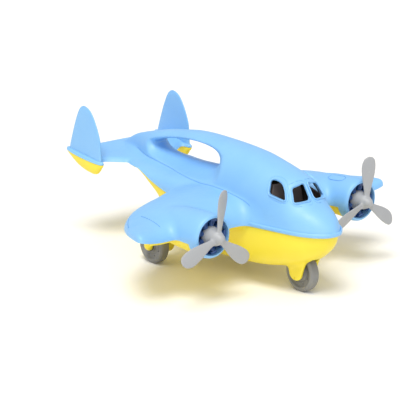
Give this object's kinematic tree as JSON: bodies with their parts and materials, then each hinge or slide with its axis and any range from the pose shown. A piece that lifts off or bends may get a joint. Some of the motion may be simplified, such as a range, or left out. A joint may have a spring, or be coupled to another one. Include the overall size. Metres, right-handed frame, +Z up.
{
  "type": "toy airplane",
  "caption": "Chunky toy cargo airplane with a carry-handle slot through its back, spinning propellers, rolling wheels, twin tail fins and a drop-down rear cargo ramp.",
  "frame": {"origin": "on the ground under the middle of the bounding box, with the airplane standing on its three wheels", "axes": "+Z up, nose along -Y, port (left) wing along +X"},
  "size_m": [0.308, 0.337, 0.1382],
  "materials": {
    "shell_blue": "satin",
    "hull_yellow": "satin",
    "engine_navy": "satin",
    "propeller_grey": "satin",
    "wheel_grey": "matte"
  },
  "bodies": {
    "airframe": {"upper_shell": "shell_blue", "lower_hull": "hull_yellow", "tail_underside": "hull_yellow", "tail_fin_left": "shell_blue", "tail_fin_right": "shell_blue", "engine_left": "engine_navy", "engine_right": "engine_navy", "nose_axle": "wheel_grey", "rear_axle_pin_left": "hull_yellow", "rear_axle_pin_right": "hull_yellow", "ramp_hinge_pin": "hull_yellow"},
    "propeller_left": {"propeller_left": "propeller_grey", "propeller_shaft_left": "propeller_grey", "propeller_retainer_left": "propeller_grey"},
    "propeller_right": {"propeller_right": "propeller_grey", "propeller_shaft_right": "propeller_grey", "propeller_retainer_right": "propeller_grey"},
    "nose_wheel": {"nose_wheel": "wheel_grey"},
    "rear_wheel_left": {"rear_wheel_left": "wheel_grey"},
    "rear_wheel_right": {"rear_wheel_right": "wheel_grey"},
    "ramp": {"cargo_ramp": "hull_yellow"}
  },
  "joints": [
    {"name": "propeller_left_spin", "type": "hinge", "parent": "airframe", "child": "propeller_left", "pos_m": [0.093, -0.1135, 0.066], "axis": [0, 1, 0], "continuous": true},
    {"name": "propeller_right_spin", "type": "hinge", "parent": "airframe", "child": "propeller_right", "pos_m": [-0.093, -0.1135, 0.066], "axis": [0, 1, 0], "continuous": true},
    {"name": "nose_wheel_spin", "type": "hinge", "parent": "airframe", "child": "nose_wheel", "pos_m": [0, -0.1255, 0.0185], "axis": [1, 0, 0], "continuous": true},
    {"name": "rear_wheel_left_spin", "type": "hinge", "parent": "airframe", "child": "rear_wheel_left", "pos_m": [0.0535, 0.03, 0.0185], "axis": [1, 0, 0], "continuous": true},
    {"name": "rear_wheel_right_spin", "type": "hinge", "parent": "airframe", "child": "rear_wheel_right", "pos_m": [-0.0535, 0.03, 0.0185], "axis": [1, 0, 0], "continuous": true},
    {"name": "ramp_hinge", "type": "hinge", "parent": "airframe", "child": "ramp", "pos_m": [0, 0.0095, 0.0196], "axis": [-1, 0, 0], "range_deg": [0, 48]}
  ]
}
